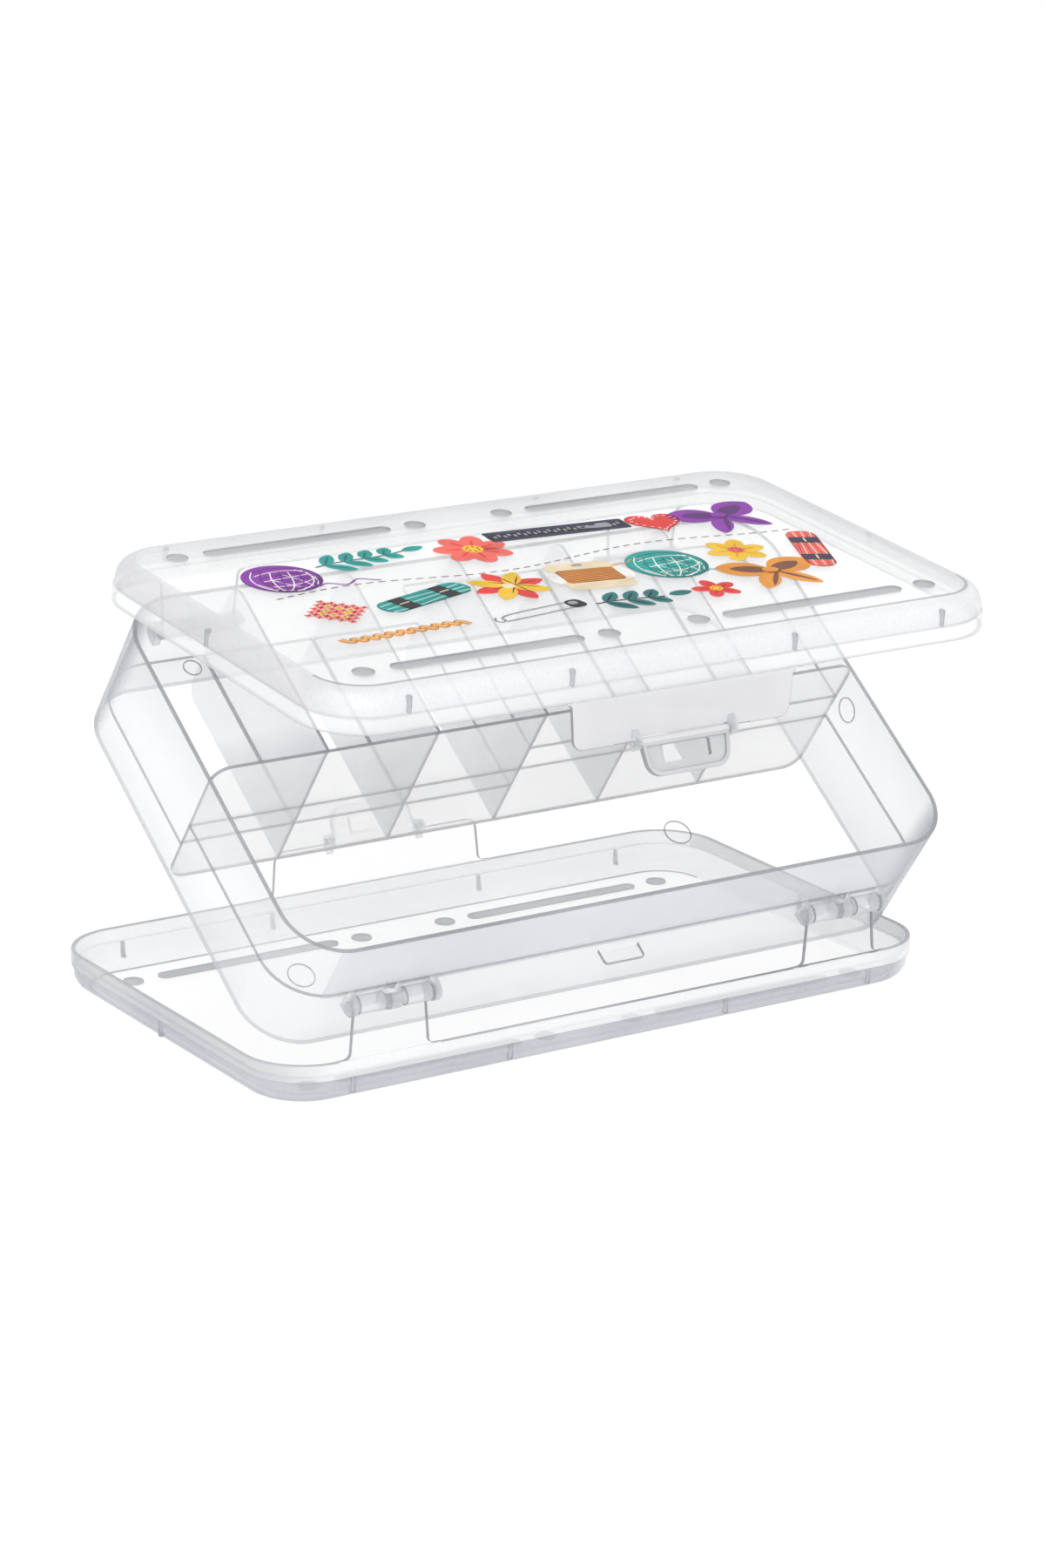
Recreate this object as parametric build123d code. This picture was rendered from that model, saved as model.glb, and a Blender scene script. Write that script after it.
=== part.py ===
from build123d import *
from math import radians, sin
import os

# Clear double-sided thread box, shown open: the bottom lid lies on the table, the tray body
# tilts up on the bottom lid's hinges, and the top lid hangs over it on the body's back hinges.
# X runs along the box, +Y is the back, +Z is up. The origin is the middle of the underside.
# Both lids are one moulding, modelled as the bottom lid: outer face at z = 0, hollow upwards,
# hinge tabs in front and latch apron at the back. The top lid is the same piece turned over.

# Lid
lid_length = 250.0
lid_width = 148.5
lid_corner_radius = 21.0
lid_height = 13.5
lid_wall = 1.4
lid_plate = 1.5
lid_edge_radius = 6.0
skirt_step = 0.8          # how far the band stands out from the skirt below it
ledge_height = 9.0        # the body's rim seats on this ledge inside the lid
ledge_thickness = 1.2
ledge_width = 1.7         # how far the inside steps outwards at the ledge
dimple_diameter = 7.0
dimple_depth = 0.7
dimple_x = (16.5, 103.5)
groove_width = 4.0
groove_depth = 0.6
groove_length = 68.0
groove_x = 60.0
groove_y = 56.2           # the dimples and grooves share this line
rib_width = 1.6
rib_depth = 3.0
rib_height = 5.2
rib_x = (41.0, 98.0)

# Latch apron and hinge tabs, which rise from the lid's rim
apron_height = 28.8
apron_base = 82.0
apron_top = 79.4
apron_corner = 3.4
apron_wall = 1.2
apron_lean = 3.0          # degrees outwards, so that the body's rim swings past inside it
flare_radius = 2.0
tab_inset = 39.8          # from the lid's end to the middle of a tab
tab_base = 28.4
tab_top = 25.6

# Hinge
hinge_out = 1.0           # the hinge line stands this far outside the lid's side
hinge_drop = 1.05         # and this far below the body's middle
pin_radius = 1.6
pin_clearance = 0.08
knuckle_radius = 3.0
knuckle_span = 26.0
centre_ear = 6.4          # the centre post at the wall
centre_waist = 4.0        # and at the pin
centre_arm = 1.2
centre_pocket = 2.2
ear_gap = 0.5
outer_ear = 2.4
ear_wall = 1.7

# Body
rim_clearance = 0.9       # between the body's rim and the lid's skirt
seat_clearance = 0.25     # between the body's rim and the lid's ledge
body_depth = 46.0
body_wall = 1.4
body_corner_radius = 19.0
partition_thickness = 1.3
divider_thickness = 1.2
divider_count = 5
divider_proud = 3.4       # the partition and dividers stand this far above and below the rims
divider_corner = 6.2
floor_thickness = 1.4
column_floor_offset = 9.3 # left columns are this much deeper at the top, right columns below

# Latch clip and catch
pivot_out = 1.2           # the clip's pivot stands this far outside the lid's side
pivot_rise = 0.4          # and this far past the apron's edge
clip_barrel_radius = 1.5
clip_span = 32.4
clip_foot = 29.6
clip_length = 11.0
clip_thickness = 1.6
clip_corner = 4.6
clip_window_start = 1.7
clip_window_end = 7.0
clip_window_width = 17.4
clip_border = 1.5
clip_border_height = 0.7
trunnion_radius = 0.9
lug_wall = 1.3
lug_width = 2.4
lug_gap = 0.3
catch_width = 15.0
catch_thickness = 1.4
catch_clearance = 0.35
catch_nose = 1.2          # how far the catch reaches through the clip

# Printed film on the top lid
film_length = 204.0
film_width = 92.0
film_corner = 8.0
film_thickness = 0.2

# Pose in which the box stands open, in degrees
body_open = 35.45
top_lid_open = 30.4
clip_open = 25.0

# Worked out from the sizes above
body_length = lid_length - 2 * (lid_wall + rim_clearance)
body_width = lid_width - 2 * (lid_wall + rim_clearance)
closed_height = body_depth + 2 * (ledge_height + seat_clearance)
skirt_length = lid_length - 2 * skirt_step
skirt_width = lid_width - 2 * skirt_step
skirt_corner = lid_corner_radius - skirt_step
well_inset = lid_wall + ledge_width
well_length = lid_length - 2 * well_inset
well_width = lid_width - 2 * well_inset
well_corner = lid_corner_radius - well_inset
tab_x = lid_length / 2 - tab_inset
hinge_y = -lid_width / 2 - hinge_out
body_gap = -body_width / 2 - hinge_y
hinge_z = closed_height / 2 - hinge_drop
pivot_y = lid_width / 2 + pivot_out
pivot_z = apron_height + pivot_rise
catch_face = pivot_z + clip_window_end - catch_clearance
catch_reach = pivot_y + clip_thickness / 2 + catch_nose - body_width / 2
inner_length = body_length - 2 * body_wall
inner_width = body_width - 2 * body_wall
column_pitch = inner_length / (divider_count + 1)

front_hinge = Axis((0, hinge_y, hinge_z), (1, 0, 0))
back_hinge = Axis((0, -hinge_y, closed_height - hinge_z), (1, 0, 0))
clip_pivot = Axis((0, pivot_y, pivot_z), (1, 0, 0))
middle = Axis((0, 0, closed_height / 2), (1, 0, 0))


def slab(length, width, radius, low, high):
    """A rounded rectangle, upright from low to high."""
    return Pos(0, 0, low) * extrude(RectangleRounded(length, width, radius), high - low)


def upright(face, y_low, y_high):
    """A face drawn in X and Z, as a wall from y_low to y_high."""
    wall = extrude(Plane.XZ * face, y_high - y_low)
    return Pos(0, y_high, 0) * wall


def rod(radius, x_low, x_high, y, z):
    """A round bar along X."""
    return Pos((x_low + x_high) / 2, y, z) * Rot(0, 90, 0) * Cylinder(radius, x_high - x_low)


def block(x_low, x_high, y_low, y_high, z_low, z_high):
    """A plain box between two corners."""
    place = Pos((x_low + x_high) / 2, (y_low + y_high) / 2, (z_low + z_high) / 2)
    return place * Box(x_high - x_low, y_high - y_low, z_high - z_low)


def lid_well():
    """The hollow between the plate and the ledge, round at the bottom."""
    well = slab(well_length, well_width, well_corner, lid_plate, ledge_height)
    return fillet(well.faces().sort_by(Axis.Z)[0].edges(), lid_edge_radius - lid_wall)


def lid_tray():
    """The stepped tray: flat plate, round edge, skirt and the wider band at the ledge."""
    shoulder = ledge_height - ledge_thickness
    skirt = slab(skirt_length, skirt_width, skirt_corner, 0, shoulder)
    skirt = fillet(skirt.faces().sort_by(Axis.Z)[0].edges(), lid_edge_radius)
    band = slab(lid_length, lid_width, lid_corner_radius, shoulder, lid_height)
    mouth = slab(
        lid_length - 2 * lid_wall,
        lid_width - 2 * lid_wall,
        lid_corner_radius - lid_wall,
        ledge_height,
        lid_height,
    )
    return skirt + band - lid_well() - mouth


def lid_marks():
    """The dimples and long shallow grooves sunk into the plate's outer face."""
    dimple = Cylinder(dimple_diameter / 2, 2 * dimple_depth)
    groove = extrude(SlotOverall(groove_length, groove_width), groove_depth, both=True)
    marks = []
    for y in (-groove_y, groove_y):
        for side in (-1, 1):
            marks += [Pos(side * x, y, 0) * dimple for x in dimple_x]
            marks.append(Pos(side * groove_x, y, 0) * groove)
    return marks


def lid_ribs():
    """Small upright ribs below the band, flush with it."""
    low = ledge_height - ledge_thickness - rib_height
    rib = Pos(0, 0, low) * extrude(SlotOverall(rib_depth, rib_width), rib_height)
    side_rib = Rot(0, 0, 90) * rib
    x_end = (lid_length - rib_depth) / 2
    y_side = (lid_width - rib_depth) / 2
    ribs = [Pos(-x_end, 0, 0) * rib, Pos(x_end, 0, 0) * rib]
    for y in (-y_side, y_side):
        for x in rib_x:
            ribs += [Pos(-x, y, 0) * side_rib, Pos(x, y, 0) * side_rib]
    return ribs


def lid():
    """One lid without its apron and tabs."""
    tray = lid_tray()
    well = lid_well()
    for rib in lid_ribs():
        tray = tray + (rib - well)
    for mark in lid_marks():
        tray = tray - mark
    return tray


def flap_face(base, top, height, corner):
    """Outline of a flap on the lid's rim: it narrows upwards and flares into the rim."""
    half_base = base / 2
    half_top = top / 2
    flap = Polygon(
        (-half_base, lid_height),
        (half_base, lid_height),
        (half_top, height),
        (-half_top, height),
        align=None,
    )
    strip_half = half_base + 2 * flare_radius
    strip = Pos(0, lid_height - 1) * Rectangle(2 * strip_half, 2)
    face = flap + strip
    roots = [v for v in face.vertices() if abs(v.Y - lid_height) < 0.01 and abs(v.X) < strip_half - 0.1]
    face = fillet(roots, flare_radius)
    if corner > 0:
        tips = [v for v in face.vertices() if v.Y > height - 0.01]
        face = fillet(tips, corner)
    return face


def above_rim(piece):
    """Cuts a flap off level with the lid's rim."""
    return piece - block(-lid_length, lid_length, -lid_width, lid_width, 0, lid_height)


def apron():
    """The latch apron, which leans out a little, with a notch and two bored lugs for the clip."""
    outer = lid_width / 2
    wall = upright(flap_face(apron_base, apron_top, apron_height, apron_corner), outer - apron_wall, outer)
    wall = wall.rotate(Axis((0, outer, lid_height), (1, 0, 0)), -apron_lean)
    wall = above_rim(wall)
    half = clip_span / 2 + lug_gap
    notch_floor = pivot_z - clip_barrel_radius - lug_gap
    wall = wall - block(-half, half, 0, lid_width, notch_floor, apron_height + 1)
    lug_radius = trunnion_radius + lug_wall
    inner_face = outer - apron_wall + (apron_height - lid_height) * sin(radians(apron_lean))
    for side in (-1, 1):
        x_low = min(side * half, side * (half + lug_width))
        x_high = x_low + lug_width
        boss = rod(lug_radius, x_low, x_high, pivot_y, pivot_z)
        boss = boss - block(x_low, x_high, 0, inner_face, 0, 2 * apron_height)
        foot = block(x_low, x_high, outer, pivot_y + lug_radius, pivot_z - 2 * lug_radius, pivot_z)
        wall = wall + boss + foot
    reach = half + lug_width + 1
    bore = rod(trunnion_radius + pin_clearance, -reach, reach, pivot_y, pivot_z)
    return wall - bore


def hinge_tab():
    """A tall tab with two knuckles and the pin moulded in one with them, at x = 0."""
    outer = -lid_width / 2
    plate = above_rim(upright(flap_face(tab_base, tab_top, hinge_z, 0), outer, outer + lid_wall))
    gap = centre_ear / 2 + ear_gap
    ear_radius = pin_radius + ear_wall
    plate = plate - block(-gap, gap, outer - 1, 0, hinge_z - ear_radius - ear_gap, hinge_z + 1)
    half = knuckle_span / 2
    for x_low, x_high in ((-half, -gap), (gap, half)):
        plate = plate + rod(knuckle_radius, x_low, x_high, hinge_y, hinge_z)
        plate = plate + block(x_low, x_high, hinge_y, outer + lid_wall, hinge_z - knuckle_radius, hinge_z)
    reach = half + ear_gap + outer_ear
    return plate + rod(pin_radius, -reach, reach, hinge_y, hinge_z)


def centre_post(radius):
    """The middle ear: a V of two arms that run together from the body's wall to the pin."""
    wall_face = -body_width / 2
    half = centre_ear / 2
    waist = centre_waist / 2
    plan = Polygon((-waist, hinge_y), (waist, hinge_y), (half, wall_face), (-half, wall_face), align=None)
    post = Pos(0, 0, hinge_z - radius) * extrude(plan, 2 * radius)
    mouth = half - centre_arm
    tip_y = wall_face - (body_gap - centre_arm)
    pocket = Polygon((-mouth, wall_face), (0, tip_y), (mouth, wall_face), align=None)
    pocket = Pos(0, 0, hinge_z + radius - centre_pocket) * extrude(pocket, centre_pocket)
    return post - pocket + rod(radius, -waist, waist, hinge_y, hinge_z)


def hinge_ears():
    """The three bored ears that carry a pin, on the body's front wall, at x = 0."""
    radius = pin_radius + ear_wall
    low = knuckle_span / 2 + ear_gap
    high = low + outer_ear
    bore = rod(pin_radius + pin_clearance, -high - 1, high + 1, hinge_y, hinge_z)
    ears = [centre_post(radius) - bore]
    for x_low, x_high in ((-high, -low), (low, high)):
        arm = block(x_low, x_high, hinge_y, -body_width / 2, hinge_z - radius, hinge_z + radius)
        cheek = rod(radius, x_low, x_high, hinge_y, hinge_z)
        ears.append(cheek + arm - bore)
    return Part() + ears


def clip():
    """The latch clip: a framed window below a barrel with a trunnion at each end, standing up."""
    reach = clip_length
    half = clip_span / 2
    foot = clip_foot / 2
    outline = Polygon((-half, 0), (half, 0), (foot, reach), (-foot, reach), align=None)
    tips = [v for v in outline.vertices() if v.Y > reach - 0.01]
    outline = fillet(tips, clip_corner)
    window_middle = (clip_window_start + clip_window_end) / 2
    window = Pos(0, window_middle) * Rectangle(clip_window_width, clip_window_end - clip_window_start)
    inside = offset(outline, -clip_border) - Rectangle(clip_span, 2 * clip_barrel_radius)
    border = outline - inside - Rectangle(clip_span, 2 * clip_barrel_radius)
    plate = upright(outline - window, -clip_thickness / 2, clip_thickness / 2)
    frame = upright(border, 0, clip_thickness / 2 + clip_border_height)
    body = plate + frame + rod(clip_barrel_radius, -half, half, 0, 0)
    tip = half + lug_gap + lug_width
    body = body + rod(trunnion_radius, -tip, tip, 0, 0)
    return (Pos(0, pivot_y, pivot_z) * body).rotate(clip_pivot, -clip_open)


def catch():
    """The catch tongue on the body's back wall, which the bottom lid's clip closes over."""
    wall_face = body_width / 2
    tongue = block(
        -catch_width / 2,
        catch_width / 2,
        wall_face,
        wall_face + catch_reach,
        catch_face - catch_thickness,
        catch_face,
    )
    ends = tongue.edges().filter_by(Axis.Z).sort_by(Axis.Y)[-2:]
    return fillet(ends, catch_thickness)


def wall_ring():
    """The body's outer wall, open above and below."""
    outline = RectangleRounded(body_length, body_width, body_corner_radius)
    inner = RectangleRounded(inner_length, inner_width, body_corner_radius - body_wall)
    low = (closed_height - body_depth) / 2
    return Pos(0, 0, low) * extrude(outline - inner, body_depth)


def web_face(length, wall_ends):
    """Outline of an inner wall. It stands proud of the rims, with round corners at wall_ends."""
    face = Rectangle(length, body_depth + 2 * divider_proud)
    corners = [v for v in face.vertices() if any(v.X * end > 0 for end in wall_ends)]
    return fillet(corners, divider_corner)


def partition():
    """The long wall between the front compartment and the columns."""
    face = web_face(inner_length, (-1, 1))
    wall = upright(face, -partition_thickness / 2, partition_thickness / 2)
    return Pos(0, 0, closed_height / 2) * wall


def divider(x):
    """A cross wall between two columns, from the partition to the back wall."""
    start = partition_thickness / 2
    length = inner_width / 2 - start
    wall = extrude(Plane.YZ * web_face(length, (1,)), divider_thickness)
    return Pos(x - divider_thickness / 2, start + length / 2, closed_height / 2) * wall


def floor_panel(x_low, x_high, y_low, y_high, offset_up):
    """A floor inside the wall ring, cut to its round corners."""
    middle_z = closed_height / 2 + offset_up
    low = middle_z - floor_thickness / 2
    high = middle_z + floor_thickness / 2
    whole = slab(inner_length, inner_width, body_corner_radius - body_wall, low, high)
    return whole & block(x_low, x_high, y_low, y_high, low, high)


def column_floor(number):
    """The floor of one column, counted from the left."""
    left = -inner_length / 2 + (number - 1) * column_pitch
    right = left + column_pitch
    if number > 1:
        left += divider_thickness / 2
    if number <= divider_count:
        right -= divider_thickness / 2
    side = -1 if number <= (divider_count + 1) / 2 else 1
    y_low = partition_thickness / 2
    return floor_panel(left, right, y_low, inner_width / 2, side * column_floor_offset)


def film():
    """The thin printed film on the outside of the lid's plate."""
    return slab(film_length, film_width, film_corner, -film_thickness, 0)


def turned(shape):
    """Turns a piece over about the box's long axis, as the top lid is the bottom lid turned."""
    return shape.rotate(middle, 180)


def on_body(shape):
    """Tilts a piece of the closed body up on the front hinges."""
    return shape.rotate(front_hinge, body_open)


def on_top_lid(shape):
    """Turns a lid piece over and opens it on the body's back hinges."""
    return on_body(turned(shape).rotate(back_hinge, -top_lid_open))


def build_parts():
    """Every piece by name, in its place in the open box."""
    parts = {}
    lid_piece = lid()
    lid_apron = apron()
    tab = hinge_tab()
    lid_clip = clip()
    ears = hinge_ears()
    catch_tongue = catch()
    sides = {"left": -tab_x, "right": tab_x}

    parts["bottom_lid"] = lid_piece
    parts["bottom_lid_apron"] = lid_apron
    parts["bottom_latch_clip"] = lid_clip
    parts["top_lid"] = on_top_lid(lid_piece)
    parts["top_lid_apron"] = on_top_lid(lid_apron)
    parts["top_latch_clip"] = on_top_lid(lid_clip)
    parts["print_film"] = on_top_lid(film())
    parts["body_wall"] = on_body(wall_ring())
    parts["partition"] = on_body(partition())
    front = -inner_width / 2
    back = -partition_thickness / 2
    whole = inner_length / 2
    parts["front_floor"] = on_body(floor_panel(-whole, whole, front, back, 0))
    parts["back_catch"] = on_body(catch_tongue)
    parts["front_catch"] = on_body(turned(catch_tongue))
    for name, x in sides.items():
        parts[f"bottom_hinge_tab_{name}"] = Pos(x, 0, 0) * tab
        parts[f"top_hinge_tab_{name}"] = on_top_lid(Pos(x, 0, 0) * tab)
        parts[f"front_hinge_ears_{name}"] = on_body(Pos(x, 0, 0) * ears)
        parts[f"back_hinge_ears_{name}"] = on_body(turned(Pos(x, 0, 0) * ears))
    for number in range(1, divider_count + 2):
        parts[f"column_floor_{number}"] = on_body(column_floor(number))
    for number in range(1, divider_count + 1):
        x = -inner_length / 2 + number * column_pitch
        parts[f"divider_{number}"] = on_body(divider(x))
    return parts


os.makedirs("parts", exist_ok=True)
for node_name, piece in build_parts().items():
    export_step(piece, f"parts/{node_name}.step")
    print(node_name, round(piece.volume, 1))
print("closed height", closed_height, "mm, catch reach", round(catch_reach, 2), "mm")
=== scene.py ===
import math

import bmesh
import bpy
from mathutils import Matrix, Vector


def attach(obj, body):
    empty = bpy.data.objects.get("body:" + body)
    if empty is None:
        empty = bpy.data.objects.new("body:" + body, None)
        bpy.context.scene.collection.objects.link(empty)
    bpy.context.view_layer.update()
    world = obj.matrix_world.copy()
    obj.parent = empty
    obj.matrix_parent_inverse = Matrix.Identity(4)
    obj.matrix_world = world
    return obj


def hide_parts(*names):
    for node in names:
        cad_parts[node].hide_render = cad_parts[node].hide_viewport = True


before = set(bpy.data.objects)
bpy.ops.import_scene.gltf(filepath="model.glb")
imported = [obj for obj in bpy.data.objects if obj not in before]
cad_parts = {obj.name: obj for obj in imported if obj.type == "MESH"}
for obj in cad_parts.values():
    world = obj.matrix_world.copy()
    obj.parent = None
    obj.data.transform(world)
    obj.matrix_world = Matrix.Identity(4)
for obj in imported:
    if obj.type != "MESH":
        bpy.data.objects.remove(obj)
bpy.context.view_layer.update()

mm = 0.001
nearBy = 0.05 * mm  # how close a point lies to a named place

# A clear double-sided thread box, open: lids, tray body, latch clips and a printed film.
# All sizes are millimetres and degrees. Each moulding is made in the closed box, then placed.


def colour(code):
    parts = [int(code[i:i + 2], 16) / 255 for i in (1, 3, 5)]
    return [p / 12.92 if p <= 0.04045 else ((p + 0.055) / 1.055) ** 2.4 for p in parts] + [1.0]


def addNode(material, kind, settings=None, links=None):
    node = material.node_tree.nodes.new(kind)
    for name, value in (settings or {}).items():
        if isinstance(name, str) and hasattr(node, name):
            setattr(node, name, value)
        else:
            node.inputs[name].default_value = value
    for name, source in (links or {}).items():
        material.node_tree.links.new(source, node.inputs[name])
    return node


def newMaterial(name):
    material = bpy.data.materials.new(name)
    material.use_nodes = True
    material.node_tree.nodes.clear()
    return material


# The open pose and the hinge lines, as the frame has them
pose = {
    "bodyOpen": 35.45, "topLidOpen": 30.4, "clipOpen": 25.0,
    "closedHeight": 64.5, "hingeY": -75.25, "hingeZ": 31.2, "clipY": 75.45, "clipZ": 29.2,
}


# Clear polypropylene, injection moulded: a thin milky haze that gathers where the wall is seen
# edge on, a soft gloss, and the faint ripple of the polished mould.
plastics = {
    "mouldedPolypropylene": {  # upright walls: light haze, with painted shade round the corners that makes them greyer and denser
        "colour": "#ECEEF2", "clear": 0.14, "edgeOn": 0.5, "turn": 3.0, "roughness": 0.14, "corner": 0.42,
    },
    "polypropyleneRim": {  # the rims and cut edges, where light runs along inside the wall
        "colour": "#999A9F", "clear": 0.86, "edgeOn": 0.9, "turn": 1.5, "roughness": 0.22,
    },
    "polypropyleneRecess": {  # sunk marks with a matt floor, as spark-eroded steel leaves
        "colour": "#ADAEB2", "clear": 0.84, "edgeOn": 0.92, "turn": 2.0, "roughness": 0.45,
    },
    "polypropyleneSeam": {  # where a floor meets a wall: the plate seen along its length
        "colour": "#85878D", "clear": 0.68, "edgeOn": 0.84, "turn": 1.5, "roughness": 0.2,
    },
    "polypropyleneThick": {  # knuckles and posts, thicker and denser
        "colour": "#DCDEE2", "clear": 0.42, "edgeOn": 0.92, "turn": 1.4, "roughness": 0.14,
    },
    "polishedPolypropylene": {  # floors and plates from the mirror-polished side of the mould
        "colour": "#F3F4F6", "clear": 0.06, "edgeOn": 0.45, "turn": 4.0, "roughness": 0.16,
    },
    "satinPolypropylene": {  # lid skirts: satin outside, the milkiest walls, faintly speckled, with painted shade that makes them greyer at the sides
        "colour": "#EBECEF", "clear": 0.72, "edgeOn": 0.86, "turn": 3.0, "roughness": 0.3, "speckle": 0.03,
        "paintedShadeToward": (0, 1, -0.8, -0.2, "#D9D9DC"),
    },
    "clearBand": {  # the band round a lid's mouth, polished and thin
        "colour": "#FBFCFD", "clear": 0.34, "edgeOn": 0.6, "turn": 3.0, "roughness": 0.18,
    },
    "shadedSkirt": {  # the lower lid's skirt, which gathers the table's grey
        # the lower lid's skirt: painted shade, grey for the shade it takes by the table, lighter where it turns to the
        # back right
        "colour": "#B9BAC4", "clear": 0.76, "edgeOn": 0.86, "turn": 3.0, "roughness": 0.3, "speckle": 0.04,
        "paintedShadeToward": (0.7, 0.7, -0.55, 0.0, "#F1F2F4"),
    },
    "milkyPlate": {  # the lids' large plates, in which what lies below shows softly
        "colour": "#FBFCFC", "clear": 0.29, "edgeOn": 0.5, "turn": 4.0, "roughness": 0.26,
    },
    "softLine": {  # where a plate turns into its round edge: a soft grey line
        "colour": "#A2A3A8", "clear": 0.80, "edgeOn": 0.86, "turn": 2.0, "roughness": 0.3,
    },
    "mouldedRib": {  # small ribs, dark along their sides
        "colour": "#ACADB3", "clear": 0.78, "edgeOn": 0.88, "turn": 1.5, "roughness": 0.25,
    },
    "dividerWeb": {  # thin webs: painted shade, greyer and milkier low down by the partition, clearer towards the back and the top
        "colour": "#CDD0D7", "clear": 0.50, "far": 0.17, "edgeOn": 0.6, "turn": 5.0, "roughness": 0.2,
    },
    "hazyWeb": {  # the long partition, a thicker web, all over milky
        "colour": "#FFFFFF", "clear": 0.31, "edgeOn": 0.58, "turn": 4.0, "roughness": 0.22,
    },
    "shadedWall": {  # the front wall above the floor: painted shade, greyer where the compartment behind greys it
        "colour": "#D2D4DA", "clear": 0.50, "edgeOn": 0.66, "turn": 3.0, "roughness": 0.14, "corner": 0.4,
    },
    "endOfRod": {  # cut ends of knuckles and cheeks, dark like the rims but softer
        "colour": "#D2D4D8", "clear": 0.5, "edgeOn": 0.74, "turn": 1.5, "roughness": 0.2,
    },
    "paleRim": {  # edges that lie in the light, hardly darker than the wall
        "colour": "#C2C3C7", "clear": 0.56, "edgeOn": 0.7, "turn": 1.5, "roughness": 0.22,
    },
    "denseClip": {  # the latch clip's frame, the thickest plastic on the box
        "colour": "#D3D4D7", "clear": 0.78, "edgeOn": 0.94, "turn": 1.5, "roughness": 0.16,
    },
    "satinApron": {  # the latch apron's outer face, milky enough to hide what lies behind
        "colour": "#E3E3E6", "clear": 0.88, "edgeOn": 0.93, "turn": 3.0, "roughness": 0.3,
    },
    "outerBand": {  # the lower lid's band outside, bright in front, with painted shade that greys its left end
        "colour": "#F8F9FA", "clear": 0.58, "edgeOn": 0.74, "turn": 3.0, "roughness": 0.22, "speckle": 0.02,
        "paintedShadeToward": (-1, 0, 0.0, 0.85, "#B7B9BE"),
    },
    "clearFilm": {  # thin film, seen only by a faint sheen
        "colour": "#F4F5F6", "clear": 0.01, "edgeOn": 0.06, "turn": 5.0, "roughness": 0.1,
    },
}


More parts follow.
